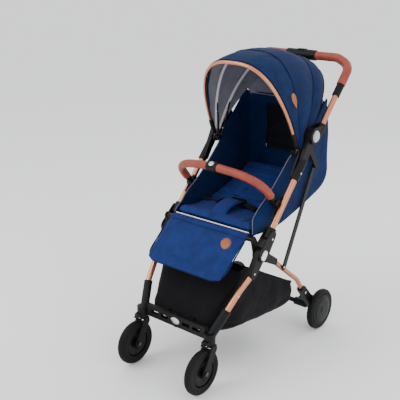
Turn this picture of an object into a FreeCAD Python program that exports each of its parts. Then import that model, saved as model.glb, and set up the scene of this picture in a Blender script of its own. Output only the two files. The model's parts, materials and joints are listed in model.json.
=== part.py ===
import FreeCAD, Part
import os
import math

os.makedirs("parts", exist_ok=True)

# Baby stroller, millimetres. X is across (+X is the child's left), the front is -Y, +Z is up.
# The floor is Z 0. Side-view points are (Y, Z) pairs.

# ---- driving dimensions -------------------------------------------------------------
TUBE_X = 201.5            # side tubes, centre to middle
MAIN_R, LEG_R, HANDLE_R, REAR_R = 10.5, 10.0, 10.0, 8.5
WALL = 1.5
LOWER_PIVOT = (-110.0, 427.0)
UPPER_PIVOT = (171.0, 768.0)
REAR_PIVOT = (-57.0, 394.0)
STRUT_FOOT = (52.0, 321.0)
STRUT_HEAD = (218.0, 653.0)
CANOPY_PIVOT = (125.0, 713.0)
BUMPER_PIVOT = (-8.0, 572.0)
FOOTREST_PIVOT = (-132.0, 478.0)
CREASE = (56.0, 490.0)    # where seat and backrest meet
WHEEL_R = 77.5
FRONT_AXLE, REAR_AXLE = (-345.5, 77.5), (283.0, 77.5)
STEM_X, STEM_Y = 150.0, -305.0
REAR_WHEEL_X = 204.0
REAR_LEG_X = 176.0
SEAT_HALF = 176.0

V = FreeCAD.Vector
X_AXIS, Z_AXIS = V(1, 0, 0), V(0, 0, 1)


# ---- helpers ------------------------------------------------------------------------
def mirror(shape):
    return shape.mirror(V(0, 0, 0), X_AXIS)


def group(shapes):
    return Part.makeCompound(list(shapes))


def save(name, shape):
    shape.exportStep("parts/" + name + ".step")


def save_pair(name, shape):
    save(name + "_l", shape)
    save(name + "_r", mirror(shape))


def fuse(*shapes):
    body = shapes[0].multiFuse(list(shapes[1:]))
    return body.removeSplitter()


def rod(a, b, r):
    return Part.makeCylinder(r, (b - a).Length, a, b - a)


def disc(x0, x1, at, r):
    """A round plate from x0 to x1, centred on a side-view point."""
    return Part.makeCylinder(r, x1 - x0, V(x0, at[0], at[1]), X_AXIS)


def slab(x0, x1, a, b, ra, rb):
    """A flat link from x0 to x1: two round ends joined by their common tangents."""
    gap = math.dist(a, b)
    along = math.atan2(b[1] - a[1], b[0] - a[0])
    lean = math.acos((ra - rb) / gap)
    ends = []
    for c, r, side in ((a, ra, 1), (b, rb, 1), (b, rb, -1), (a, ra, -1)):
        ends.append((c[0] + r * math.cos(along + side * lean), c[1] + r * math.sin(along + side * lean)))
    web = plate(x0, x1, ends)
    return fuse(web, disc(x0, x1, a, ra), disc(x0, x1, b, rb))


def plate(x0, x1, points):
    """A flat side-view outline, extruded across from x0 to x1."""
    ring = [V(x0, y, z) for y, z in points]
    face = Part.Face(Part.makePolygon(ring + ring[:1]))
    return face.extrude(V(x1 - x0, 0, 0))


def path(points, bend):
    """A wire through the points, with its corners rounded to the bend radius."""
    edges, start = [], points[0]
    for before, at, after in zip(points, points[1:], points[2:]):
        u, w = (before - at), (after - at)
        room = 0.49 * min(u.Length, w.Length)
        u.normalize()
        w.normalize()
        half = u.getAngle(w) / 2
        cut = min(bend / math.tan(half), room)
        a, b = at + u * cut, at + w * cut
        mid = u + w
        mid.normalize()
        r = cut * math.tan(half)
        top = at + mid * (r / math.sin(half) - r)
        edges.append(Part.makeLine(start, a))
        edges.append(Part.Arc(a, top, b).toShape())
        start = b
    edges.append(Part.makeLine(start, points[-1]))
    return Part.Wire(edges)


def sweep(wire, r):
    first = wire.Edges[0]
    ring = Part.makeCircle(r, first.valueAt(first.FirstParameter), first.tangentAt(first.FirstParameter))
    return wire.makePipeShell([Part.Wire([ring])], True, True)


def tube(points, r, bend=60.0, wall=WALL):
    line = path(points, bend) if len(points) > 2 else Part.Wire([Part.makeLine(*points)])
    outer = sweep(line, r)
    return outer.cut(sweep(line, r - wall)) if wall else outer


def box(x0, x1, y0, y1, z0, z1):
    return Part.makeBox(x1 - x0, y1 - y0, z1 - z0, V(x0, y0, z0))


def turned(shape, pivot, degrees):
    """Turn about an X axis through a side-view point, front to top negative."""
    copy = shape.copy()
    copy.rotate(V(0, pivot[0], pivot[1]), X_AXIS, degrees)
    return copy


def outline_offset(points, d):
    """Move an open side-view line sideways by d, to its left."""
    out = []
    for i, p in enumerate(points):
        q = points[min(i + 1, len(points) - 1)]
        o = points[max(i - 1, 0)]
        a = (p[0] - o[0], p[1] - o[1])
        b = (q[0] - p[0], q[1] - p[1])
        la, lb = math.hypot(*a) or 1.0, math.hypot(*b) or 1.0
        na = (-a[1] / la, a[0] / la) if i else (-b[1] / lb, b[0] / lb)
        nb = (-b[1] / lb, b[0] / lb) if i < len(points) - 1 else na
        n = (na[0] + nb[0], na[1] + nb[1])
        ln = math.hypot(*n)
        n = (n[0] / ln, n[1] / ln)
        k = d / max(0.35, n[0] * na[0] + n[1] * na[1])
        out.append((p[0] + n[0] * k, p[1] + n[1] * k))
    return out


def on_main(s, x=TUBE_X):
    """A point on the main side tube, s mm above its lower end."""
    return V(x, -59 + 0.661 * s, 484 + 0.750 * s)


# ---- main side tubes and their two housings -----------------------------------------
main_tube = tube([on_main(-14), on_main(270)], MAIN_R)
save_pair("main_tube", main_tube)

main_core = rod(on_main(-15), on_main(271), MAIN_R)
lower_sleeve = rod(on_main(-22), on_main(16), 16).cut(main_core)
sleeve_foot = (on_main(-6).y, on_main(-6).z)
outer_cheek = slab(213, 218, LOWER_PIVOT, sleeve_foot, 25, 17)
inner_cheek = slab(186, 190, LOWER_PIVOT, sleeve_foot, 24, 17)
rear_ear = slab(186, 190, sleeve_foot, REAR_PIVOT, 16, 18)
seat_arm = slab(186, 190, LOWER_PIVOT, FOOTREST_PIVOT, 20, 12)
lower_pin = disc(189, 214, LOWER_PIVOT, 6)
rear_pin = disc(164, 187, REAR_PIVOT, 5)
lower_housing = fuse(lower_sleeve, outer_cheek, inner_cheek, rear_ear, seat_arm, lower_pin, rear_pin)
lower_housing = lower_housing.cut(main_core)
save("lower_housings", group([lower_housing, mirror(lower_housing)]))

lower_cap = slab(218, 221.5, (-116, 420), (-108, 430), 11, 11)
save("lower_caps", group([lower_cap, mirror(lower_cap)]))

upper_sleeve = rod(on_main(200), on_main(276), 15)
upper_disc = disc(192, 211, UPPER_PIVOT, 27)
upper_web = slab(194, 209, UPPER_PIVOT, (on_main(272).y, on_main(272).z), 22, 14)
tail = slab(192, 199, (160, 742), STRUT_HEAD, 13, 10)
upper_pin = disc(183, 219, UPPER_PIVOT, 7)
upper_housing = fuse(upper_sleeve, upper_disc, upper_web, tail, upper_pin).cut(main_core)
save("upper_housings", group([upper_housing, mirror(upper_housing)]))

# ---- handle: joints, bent tube, collars, grips, middle block, caps -------------------
HANDLE_BASE = (217.0, 785.0)
HANDLE_CORNER = (383.0, 968.0)
HANDLE_MID = (404.0, 1001.0)
handle_along = math.atan2(HANDLE_CORNER[1] - HANDLE_BASE[1], HANDLE_CORNER[0] - HANDLE_BASE[0])


def on_handle(s, x=205.0):
    return V(x, HANDLE_BASE[0] + s * math.cos(handle_along), HANDLE_BASE[1] + s * math.sin(handle_along))


handle_corner = on_handle(262)
handle_points = [on_handle(-12), handle_corner, V(150, *HANDLE_MID), V(-150, *HANDLE_MID)]
handle_points += [V(-handle_corner.x, handle_corner.y, handle_corner.z), on_handle(-12, -205)]
handle_line = path(handle_points, 44)
handle_core = sweep(handle_line, HANDLE_R)
save("handle_tube", handle_core.cut(sweep(handle_line, HANDLE_R - WALL)))

cheek_out = slab(211.5, 218.5, UPPER_PIVOT, HANDLE_BASE, 29, 15)
cheek_in = slab(184.5, 191.5, UPPER_PIVOT, HANDLE_BASE, 29, 15)
handle_sleeve = rod(on_handle(-13), on_handle(16), 15)
handle_joint = fuse(cheek_out, cheek_in, handle_sleeve)
handle_joint = handle_joint.cut(handle_core).cut(disc(180, 222, UPPER_PIVOT, 7.05))
save("handle_joints", group([handle_joint, mirror(handle_joint)]))

cap_ring = disc(219.2, 222.5, UPPER_PIVOT, 17)
cap_foot = disc(218.5, 219.2, UPPER_PIVOT, 20).cut(disc(218, 220, UPPER_PIVOT, 9))
handle_cap = fuse(cap_ring, cap_foot)
save("handle_caps", group([handle_cap, mirror(handle_cap)]))

collar = rod(on_handle(134), on_handle(180), 13.5).cut(handle_core)
save("handle_collars", group([collar, mirror(collar)]))


grip_skin = sweep(handle_line, 15.5).cut(handle_core)
grip_keep = box(62.5, 230, 300, 500, 900, 1100)
grip = grip_skin.common(grip_keep).cut(rod(on_handle(100), on_handle(180.3), 40))
save("handle_grips", group([grip, mirror(grip)]))

block = disc(-62, 62, HANDLE_MID, 19)
block = block.makeFillet(3.0, [e for e in block.Edges if e.Length > 100])
button_well = box(-16.5, 16.5, HANDLE_MID[0] - 10.5, HANDLE_MID[0] + 10.5, 1005, 1030)
block = block.cut(handle_core).cut(button_well)
save("handle_block", block)

fold_button = box(-16, 16, HANDLE_MID[0] - 10, HANDLE_MID[0] + 10, 1014.5, 1022)
fold_button = fold_button.makeFillet(1.5, [e for e in fold_button.Edges if e.BoundBox.ZMin > 1021])
save("fold_button", fold_button)

# ---- front legs -----------------------------------------------------------------------
FOOT_TOP = V(176, -247, 267)
KNEE = V(150, -296, 190)
leg_points = [V(TUBE_X, -141, 384), V(TUBE_X, -156, 366), V(187, -203, 318), FOOT_TOP, KNEE]
leg_line = path(leg_points, 120)
leg_core = sweep(leg_line, LEG_R)
save_pair("front_leg_tube", leg_core.cut(sweep(leg_line, LEG_R - WALL)))

knuckle = slab(191, 212, LOWER_PIVOT, (-155, 368), 21, 15)
knuckle = knuckle.cut(leg_core).cut(disc(180, 220, LOWER_PIVOT, 6.05))
save("front_leg_joints", group([knuckle, mirror(knuckle)]))

# black lower sleeve of the leg, ending in the round housing of the caster's stem
foot_sleeve = rod(FOOT_TOP, KNEE, 14.5)
stem_house = Part.makeCylinder(19, 38, V(STEM_X, STEM_Y, 163), Z_AXIS)
foot = fuse(foot_sleeve, Part.makeSphere(16, KNEE), stem_house)
foot = foot.cut(disc(140.5, 159.5, (-327, 172), 5.2))
lock_ears = [slab(x, x + 3, (-327, 172), (STEM_Y, 176), 5, 8) for x in (137.5, 159.5)]
foot = fuse(foot, *lock_ears, disc(138, 162, (-327, 172), 2))
stem_hole = Part.makeCylinder(6.05, 60, V(STEM_X, STEM_Y, 140), Z_AXIS)
foot = foot.cut(leg_core).cut(stem_hole)
save("front_feet", group([foot, mirror(foot)]))

PLATE_HALF = 131.0
cross_plate = box(-PLATE_HALF, PLATE_HALF, -305, -291, 172, 214)
slot = box(-16, 16, -310, -280, 187, 199)
for x in (-92, -48, 48, 92):
    cross_plate = cross_plate.cut(slot.translated(V(x, 0, 0)))
cross_plate = fuse(cross_plate, Part.makeCylinder(23, 14, V(0, -305, 193), V(0, 1, 0)))

# ---- pull-out trolley handle under the seat -------------------------------------------
TROLLEY_X = 55.0
TROLLEY_FOOT, TROLLEY_RUN = (-268.0, 205.0), math.radians(51.6)


def on_trolley(s, x=TROLLEY_X):
    return V(x, TROLLEY_FOOT[0] + s * math.cos(TROLLEY_RUN), TROLLEY_FOOT[1] + s * math.sin(TROLLEY_RUN))


sleeves, mids, rods = [], [], []
for x in (-TROLLEY_X, TROLLEY_X):
    outer = rod(on_trolley(0, x), on_trolley(272, x), 9)
    sleeves.append(outer.cut(rod(on_trolley(4, x), on_trolley(273, x), 7.55)))
    mid = rod(on_trolley(6, x), on_trolley(278, x), 7.5)
    mids.append(mid.cut(rod(on_trolley(10, x), on_trolley(279, x), 6.05)))
    rods.append(rod(on_trolley(12, x), on_trolley(286, x), 6.0))
feet = [box(x - 12, x + 12, -292, -262, 190, 214).cut(rod(on_trolley(0, x), on_trolley(60, x), 9))
        for x in (-TROLLEY_X, TROLLEY_X)]
save("cross_plate", fuse(cross_plate, *feet))
save("trolley_sleeves", group(sleeves))
save("trolley_mid_tubes", group(mids))
save("trolley_rods", group(rods))
trolley_grip = rod(on_trolley(292, -72), on_trolley(292, 72), 9.5)
grip_holes = [rod(on_trolley(200, x), on_trolley(286, x), 6.0) for x in (-TROLLEY_X, TROLLEY_X)]
save("trolley_grip", trolley_grip.cut(Part.makeCompound(grip_holes)))

# ---- casters ----------------------------------------------------------------------------
HUB_Z = FRONT_AXLE[1]
crown = Part.makeCylinder(17, 6, V(STEM_X, STEM_Y, 156.5), Z_AXIS)
stem = Part.makeCylinder(6, 22, V(STEM_X, STEM_Y, 160), Z_AXIS)
fork_head = fuse(crown, stem, box(STEM_X - 21, STEM_X + 21, STEM_Y - 12, STEM_Y + 12, 156.5, 162))
fork_arms = [slab(x, x + 7, (STEM_Y, 150), FRONT_AXLE, 13, 15) for x in (129, 164)]
hub_pin = disc(130, 170, FRONT_AXLE, 5)
bolt_heads = [disc(x, x + 3, FRONT_AXLE, 8) for x in (126, 171)]
fork = fuse(fork_head, *fork_arms, hub_pin, *bolt_heads)
save_pair("caster_fork", fork)


def tyre_of(x0, x1, at, hole):
    tyre = disc(x0, x1, at, WHEEL_R)
    rims = [e for e in tyre.Edges if abs(e.Length - 2 * math.pi * WHEEL_R) < 1]
    tyre = tyre.makeFillet(6.0, rims)
    return tyre.cut(disc(x0 - 1, x1 + 1, at, hole))


def hub_of(x0, x1, at, rim, bore, dish):
    """A wheel hub: rim, web and boss, dished on both faces."""
    hub = disc(x0, x1, at, rim)
    for low, high in ((x0 - 1, x0 + dish), (x1 - dish, x1 + 1)):
        ring = disc(low, high, at, rim - 6).cut(disc(low, high, at, 15))
        hub = hub.cut(ring)
    return hub.cut(disc(x0 - 1, x1 + 1, at, bore))


save_pair("front_tyre", tyre_of(138, 162, FRONT_AXLE, 56))
save_pair("front_hub", hub_of(139, 161, FRONT_AXLE, 56, 5.05, 6))

# the caster's wheel lock: a small lever on the crown's front, turning about X
LOCK_PIVOT = (STEM_Y - 12.0, 168.0)

# ---- rear legs ---------------------------------------------------------------------------
REAR_END = (203.0, 171.0)
rear_points = [V(REAR_LEG_X, 2, 359), V(REAR_LEG_X, 158, 234), V(REAR_LEG_X, REAR_END[0], REAR_END[1])]
rear_line = path(rear_points, 90)
rear_core = sweep(rear_line, REAR_R)
rear_knuckle = slab(167.5, 184.5, REAR_PIVOT, (6, 356), 17, 12)
rear_knuckle = rear_knuckle.cut(rear_core).cut(disc(150, 190, REAR_PIVOT, 5.05))
rear_tube = rear_core.cut(sweep(rear_line, REAR_R - WALL))
save("rear_leg_tubes", group([rear_tube, mirror(rear_tube)]))
save("rear_leg_joints", group([rear_knuckle, mirror(rear_knuckle)]))

bracket = slab(165, 187, (193, 185), REAR_AXLE, 13, 17)
axle_stub = disc(186, 220, REAR_AXLE, 6)
rear_bracket = fuse(bracket, axle_stub).cut(rear_core).cut(disc(164, 176, REAR_AXLE, 9))
save("rear_brackets", group([rear_bracket, mirror(rear_bracket)]))
axle = disc(-176, 176, REAR_AXLE, 9).cut(disc(-177, 177, REAR_AXLE, 7.5))
save("rear_axle_tube", axle)

save_pair("rear_tyre", tyre_of(192, 216, REAR_AXLE, 58))
save_pair("rear_hub", hub_of(193, 217.5, REAR_AXLE, 58, 6.05, 3))

# brake pedal on the axle tube, beside the child's left rear wheel
pedal_ring = disc(96, 146, REAR_AXLE, 15).cut(disc(90, 150, REAR_AXLE, 9.05))
pedal = fuse(pedal_ring, plate(98, 144, [(293, 84), (330, 98), (334, 92), (297, 72)]))
pedal = pedal.cut(disc(90, 150, REAR_AXLE, 9.05))
save("brake_pedal", pedal)

# ---- side struts ---------------------------------------------------------------------------
strut = slab(186, 190.5, STRUT_FOOT, STRUT_HEAD, 10, 10)
save("struts", group([strut, mirror(strut)]))

# ---- bumper bar ------------------------------------------------------------------------------
BUMPER_MID = (-109.0, 683.0)
bumper_along = math.atan2(BUMPER_MID[1] - BUMPER_PIVOT[1], BUMPER_MID[0] - BUMPER_PIVOT[0])
BUMPER_REACH = math.dist(BUMPER_MID, BUMPER_PIVOT)


def on_bumper(s, x):
    return V(x, BUMPER_PIVOT[0] + s * math.cos(bumper_along), BUMPER_PIVOT[1] + s * math.sin(bumper_along))


bumper_half = [(14, 181), (50, 181.5), (92, 172), (122, 143), (139, 100), (147, 50)]
bumper_points = [on_bumper(s, x) for s, x in bumper_half] + [on_bumper(BUMPER_REACH, 0)]
bumper_points += [on_bumper(s, -x) for s, x in reversed(bumper_half)]
bumper_curve = Part.BSplineCurve()
bumper_curve.interpolate(bumper_points)
bumper_line = Part.Wire([bumper_curve.toShape()])
bumper_core = sweep(bumper_line, 8.5)
save("bumper_tube", bumper_core.cut(sweep(bumper_line, 7)))
bumper_skin = sweep(bumper_line, 14).cut(bumper_core)
bumper_keep = box(21, 215, -400, 300, 400, 900)
low_cut = rod(on_bumper(-40, 100), on_bumper(38, 100), 160)
bumper_grip = bumper_skin.common(bumper_keep).cut(low_cut)
save("bumper_grips", group([bumper_grip, mirror(bumper_grip)]))
ring = rod(on_bumper(BUMPER_REACH, -20), on_bumper(BUMPER_REACH, 20), 16.5).cut(bumper_core)
save("bumper_ring", ring)
bumper_end = fuse(disc(174, 188, BUMPER_PIVOT, 13), rod(on_bumper(4, 181), on_bumper(30, 180), 11.5))
bumper_end = bumper_end.cut(bumper_core).cut(disc(170, 190, BUMPER_PIVOT, 5.05))
bumper_end = bumper_end.cut(box(188.2, 200, -100, 100, 500, 650))
save("bumper_ends", group([bumper_end, mirror(bumper_end)]))
socket = fuse(disc(188.5, 192, BUMPER_PIVOT, 13), disc(174.5, 189, BUMPER_PIVOT, 5))
near = on_main(92)
socket = fuse(socket, slab(188.5, 196, BUMPER_PIVOT, (near.y + 8, near.z - 7), 12, 12))
main_block = rod(on_main(60), on_main(130), 15.5)
socket = fuse(socket, main_block.common(box(188.5, 196.5, -100, 120, 520, 600))).cut(main_core)
save("bumper_sockets", group([socket, mirror(socket)]))

# ---- canopy ------------------------------------------------------------------------------------
clip = fuse(disc(156, 189, CANOPY_PIVOT, 7), disc(187, 191, CANOPY_PIVOT, 15))
clip = fuse(clip, slab(187, 192, CANOPY_PIVOT, (on_main(216).y, on_main(216).z), 13, 12))
clip = clip.cut(main_core).cut(rod(on_main(200), on_main(276), 15))
save("canopy_clips", group([clip, mirror(clip)]))


def bow_line(reach, degrees, half, back=0.0, pull=0.0, steps=9):
    """An arched line standing on the canopy pivot, leaning to the given direction.

    back moves the whole line towards the rear, square to its own direction. pull draws its feet
    inwards, so that the bows stand side by side on the pivot.
    """
    c, s = math.cos(math.radians(degrees)), math.sin(math.radians(degrees))
    points = []
    for i in range(-steps, steps + 1):
        turn = math.pi / 2 * (1 - abs(i) / steps)
        r = 17 + (reach - 17) * math.sin(turn) ** 0.8
        near = min(1.0, max(0.0, (165 - r) / 100))
        width = half * math.cos(turn) ** 0.72 - pull * near * near * (3 - 2 * near)
        x = math.copysign(width, i) if i else 0.0
        points.append(V(x, CANOPY_PIVOT[0] + r * c + back * s, CANOPY_PIVOT[1] + r * s - back * c))
    curve = Part.BSplineCurve()
    curve.interpolate(points)
    return Part.Wire([curve.toShape()])


def eye(x0, x1):
    return disc(x0, x1, CANOPY_PIVOT, 12).cut(disc(x0 - 1, x1 + 1, CANOPY_PIVOT, 7.05))


def bow(reach, degrees, r, pull, ends):
    core = sweep(bow_line(reach, degrees, 177.5, 0.0, pull), r)
    foot = 177.5 - pull
    links = [rod(V(foot, *polar(9, degrees)), V(foot, *polar(20, degrees)), r * 0.95)]
    links.append(mirror(links[0]))
    bore = disc(-200, 200, CANOPY_PIVOT, 7.05)
    return fuse(core, eye(*ends), mirror(eye(*ends)), *links).cut(bore)


def polar(r, degrees):
    return (CANOPY_PIVOT[0] + r * math.cos(math.radians(degrees)),
            CANOPY_PIVOT[1] + r * math.sin(math.radians(degrees)))


def arch(degrees, reach, back, out):
    """A closed arch: a bow's line moved outwards, and the line across its feet."""
    line = bow_line(reach + out, degrees, 177.5 + out, back)
    ends = line.OrderedVertexes
    return Part.Wire(line.OrderedEdges + [Part.makeLine(ends[-1].Point, ends[0].Point)])


def panel(first, last, inner_last=None):
    """A fabric panel 2 mm thick between two bows, each given as (degrees, reach, back)."""
    outer = Part.makeLoft([arch(*first, 5.5), arch(*last, 5.5)], True, True)
    inner = Part.makeLoft([arch(*first, 3.5), arch(*(inner_last or last), 3.5)], True, True)
    return outer.cut(inner)


save("canopy_hoop", bow(333, 115, 6.0, 0.0, (174, 181)))
save("canopy_bow", bow(325, 92.5, 3.0, 10.0, (166, 169)))
save("canopy_rear_bow", bow(340, 61, 3.0, 17.0, (159, 162)))
save("canopy_front_panel", panel((115, 333, 6.6), (92.5, 325, -0.4)))
save("canopy_mid_panel", panel((92.5, 325, 0.4), (61, 340, -0.4)))
rear_panel = panel((61, 340, 0.4), (44, 366, 0), (44, 366, -2.2))
head_gap = turned(box(-178, 178, 90, 352, 705, 721), CANOPY_PIVOT, 44)
save("canopy_rear_panel", rear_panel.cut(head_gap))

# ---- seat: shell, cushion, backrest, harness ---------------------------------------------------
seat_front = tube([V(-185.9, *FOOTREST_PIVOT), V(185.9, *FOOTREST_PIVOT)], 8)
save("seat_front_tube", seat_front)

under = [(-112, 470), (50, 468), (206, 510), (332, 545), (345, 592), (330, 662), (334, 773), (311, 860)]
inside = outline_offset(under, 5)
rim = [(298, 872), (172, 742), (98, 640), (-40, 494)]
outer_tub = plate(-SEAT_HALF, SEAT_HALF, under + rim)
inner_tub = plate(-SEAT_HALF + 5, SEAT_HALF - 5, inside + [(306, 930), (-60, 930), (-130, 700)])
save("seat_shell", outer_tub.cut(inner_tub))

cushion = plate(-163, 163, [(-116, 476), (41, 474.5), (41, 500), (-20, 506), (-100, 508), (-118, 500)])
save("seat_cushion", cushion)
BACK_LEN, BACK_DIR = 290.0, math.radians(20.0)
back_a = CREASE
back_b = (back_a[0] + BACK_LEN * math.cos(BACK_DIR) * 0.93, back_a[1] + BACK_LEN * math.sin(BACK_DIR) * 0.93)
back_pad = slab(-160, 160, back_a, back_b, 13, 12.5)
save("backrest_pad", back_pad)


def on_back(s, lift):
    return (back_a[0] + s * math.cos(BACK_DIR) - lift * math.sin(BACK_DIR),
            back_a[1] + s * math.sin(BACK_DIR) + lift * math.cos(BACK_DIR))


shoulder = slab(38, 76, on_back(60, 16.5), on_back(235, 16), 2.5, 2.4)
save("shoulder_straps", group([shoulder, mirror(shoulder)]))

arch_line = [(-84, 510.5), (-58, 530), (-22, 543), (14, 537)]
crotch_pad = plate(-38, 38, outline_offset(arch_line, 7) + arch_line[::-1])
waist = box(38, 152, -4, 24, 507.5, 510.5)
save("harness_straps", group([crotch_pad, waist, mirror(waist)]))
buckle = box(-30, 30, 17, 46, 515, 535)
buckle = buckle.makeFillet(5, buckle.Edges)
save("harness_buckle", buckle)

# ---- footrest: padded panel hung on the seat's front tube ---------------------------------------
REST_LONG, REST_THICK = 172.0, 13.0
panel_box = box(-168, 168, -REST_LONG, 0, -REST_THICK / 2, REST_THICK / 2)
corners = [e for e in panel_box.Edges if abs(e.Length - REST_THICK) < 0.01 and e.Vertexes[0].Y < -1]
panel_box = panel_box.makeFillet(34, corners)
faces = [f for f in panel_box.Faces if abs(f.normalAt(0, 0).z) > 0.9]
panel_box = panel_box.makeFillet(4.5, [e for f in faces for e in f.Edges])
panel_box.translate(V(0, -13, 6))
panel_box.rotate(V(0, 0, 0), X_AXIS, 40.9)
panel_box.translate(V(0, *FOOTREST_PIVOT))
hem = disc(-164, 164, FOOTREST_PIVOT, 12)
footrest = fuse(panel_box, hem).cut(disc(-200, 200, FOOTREST_PIVOT, 8.05))
save("footrest", footrest)

# ---- storage basket --------------------------------------------------------------------------------
floor_line = [(-160, 366), (-289, 203), (-281, 184), (-240, 164), (-144, 158), (60, 130), (148, 128)]
floor_line += [(160, 142), (158, 196), (148, 222)]
rim_line = [(60, 262), (-53, 336), (-120, 372)]


def basket_plan(d):
    """The basket seen from above, d mm inside its outer skin."""
    front = [(-128 + d, -300), (-128 + d, -262), (-160 + d, -170), (-160 + d, 200)]
    ring = front + [(-x, y) for x, y in reversed(front)]
    wire = Part.makePolygon([V(x, y, 100) for x, y in ring + ring[:1]])
    return Part.Face(wire).extrude(V(0, 0, 400))


basket_out = plate(-170, 170, floor_line + rim_line).common(basket_plan(0))
basket_in = plate(-170, 170, outline_offset(floor_line, 3) + [(148, 520), (-120, 520)]).common(basket_plan(3))
basket = basket_out.cut(basket_in).cut(box(-69, 69, -293, -261, 188, 216))
save("basket", basket)

# ---- caster locks ----------------------------------------------------------------------------------
LOCK_PIVOT = (-327.0, 172.0)
lock_lever = plate(143, 157, [(-327, 176), (-341, 171), (-341, 166), (-327, 168)])
lock = fuse(disc(141, 159, LOCK_PIVOT, 4.5), lock_lever).cut(disc(130, 170, LOCK_PIVOT, 2.05))
save_pair("caster_lock", lock)
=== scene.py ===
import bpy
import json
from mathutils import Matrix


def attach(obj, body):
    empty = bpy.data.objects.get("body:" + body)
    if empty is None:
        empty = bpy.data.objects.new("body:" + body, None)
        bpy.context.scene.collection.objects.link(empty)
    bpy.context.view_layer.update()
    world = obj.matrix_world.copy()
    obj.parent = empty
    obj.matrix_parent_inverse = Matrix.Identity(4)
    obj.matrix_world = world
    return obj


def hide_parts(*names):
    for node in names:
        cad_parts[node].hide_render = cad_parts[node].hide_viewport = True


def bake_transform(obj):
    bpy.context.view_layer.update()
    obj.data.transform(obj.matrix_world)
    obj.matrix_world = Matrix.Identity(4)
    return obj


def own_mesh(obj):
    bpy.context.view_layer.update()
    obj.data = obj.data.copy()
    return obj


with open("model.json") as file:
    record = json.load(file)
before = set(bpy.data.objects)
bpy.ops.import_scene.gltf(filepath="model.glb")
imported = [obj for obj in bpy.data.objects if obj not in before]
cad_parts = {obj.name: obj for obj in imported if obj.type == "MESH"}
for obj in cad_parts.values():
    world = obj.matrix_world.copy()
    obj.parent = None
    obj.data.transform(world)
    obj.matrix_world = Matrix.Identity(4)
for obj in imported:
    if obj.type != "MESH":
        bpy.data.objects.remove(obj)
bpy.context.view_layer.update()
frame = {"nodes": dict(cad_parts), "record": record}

import json
import math
import bmesh
import bpy
from mathutils import Matrix, Vector, noise

# Metres. X is across (+X is the child's left), the front is -Y, +Z is up, the floor is Z 0.
# Side-view points are (Y, Z) pairs.
NODES = frame["nodes"]
CANOPY_PIVOT = (0.125, 0.713)
BACK_PIVOT = (0.056, 0.490)
FOOT_PIVOT = (-0.132, 0.478)
MAIN_FOOT, MAIN_DIR = (-0.059, 0.484), (0.661, 0.750)
HOOP, MID_BOW, REAR_BOW, BACK_EDGE = (115, 0.333), (92.5, 0.325), (61, 0.340), (44, 0.366)
BOW_HALF = 0.1775
FRONT_AXLE, REAR_AXLE, WHEEL_R = (-0.3455, 0.0775), (0.283, 0.0775), 0.0775
SIDES = ((1, "l"), (-1, "r"))


# ---- small mesh helpers ---------------------------------------------------------------
def lerp(a, b, t):
    return a + (b - a) * t


def smooth(t):
    t = min(1.0, max(0.0, t))
    return t * t * (3 - 2 * t)


def rough(p, scale, amount):
    """A repeatable wrinkle height at a point."""
    return noise.noise(Vector(p) * scale) * amount


def along_chain(chain, t):
    """The point at share t of a chain of side-view points, by length."""
    runs = [math.dist(a, b) for a, b in zip(chain, chain[1:])]
    left = t * sum(runs)
    for (a, b), run in zip(zip(chain, chain[1:]), runs):
        if left <= run or b is chain[-1]:
            k = min(1.0, left / run)
            return (lerp(a[0], b[0], k), lerp(a[1], b[1], k))
        left -= run


def rounded(chain, times=3):
    """A chain with its corners cut and cut again, ends kept."""
    for _ in range(times):
        out = [chain[0]]
        for a, b in zip(chain, chain[1:]):
            out.append(tuple(lerp(p, q, 0.25) for p, q in zip(a, b)))
            out.append(tuple(lerp(p, q, 0.75) for p, q in zip(a, b)))
        chain = out + [chain[-1]]
    return chain


def piece(name, verts, faces, mats, face_mats=None):
    mesh = bpy.data.meshes.new(name)
    mesh.from_pydata([tuple(v) for v in verts], [], faces)
    for m in mats:
        mesh.materials.append(m)
    if face_mats:
        mesh.polygons.foreach_set("material_index", face_mats)
    mesh.polygons.foreach_set("use_smooth", [True] * len(mesh.polygons))
    mesh.update()
    obj = bpy.data.objects.new(name, mesh)
    bpy.context.scene.collection.objects.link(obj)
    return obj


def cloth(name, at, nu, nv, thick, outer, inner=None):
    """A closed thin skin round the surface at(u, v): outer side, inner side and its edges."""
    cols = nu + 1
    grid = [[Vector(at(i / nu, j / nv)) for i in range(cols)] for j in range(nv + 1)]
    top, low = [], []
    for j in range(nv + 1):
        for i in range(cols):
            n = (grid[j][min(i + 1, nu)] - grid[j][max(i - 1, 0)]).cross(
                grid[min(j + 1, nv)][i] - grid[max(j - 1, 0)][i])
            n = n.normalized() if n.length > 1e-12 else Vector((0, 0, 1))
            top.append(grid[j][i] + n * thick / 2)
            low.append(grid[j][i] - n * thick / 2)
    count, last = len(top), nv * cols
    faces, mats = [], []
    for j in range(nv):
        for i in range(nu):
            a = j * cols + i
            q = (a, a + 1, a + cols + 1, a + cols)
            faces += [q, tuple(count + v for v in reversed(q))]
            mats += [0, 1 if inner else 0]
    for a in range(nu):
        b = a + 1
        faces.append((b, a, count + a, count + b))
        faces.append((last + a, last + b, count + last + b, count + last + a))
    for j in range(nv):
        a, b = j * cols, (j + 1) * cols
        faces.append((a, b, count + b, count + a))
        a, b = a + nu, b + nu
        faces.append((b, a, count + a, count + b))
    mats += [0] * (2 * nu + 2 * nv)
    return piece(name, top + low, faces, [outer, inner] if inner else [outer], mats)


def tangent(points, i):
    return (points[min(i + 1, len(points) - 1)] - points[max(i - 1, 0)]).normalized()


def frames(points):
    """Points with steady normals along them, for sweeping a section."""
    out, normal = [], None
    for i, p in enumerate(points):
        t = tangent(points, i)
        if normal is None:
            normal = t.orthogonal().normalized()
        normal = (normal - t * normal.dot(t)).normalized()
        out.append((p, normal, t.cross(normal)))
    return out


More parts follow.
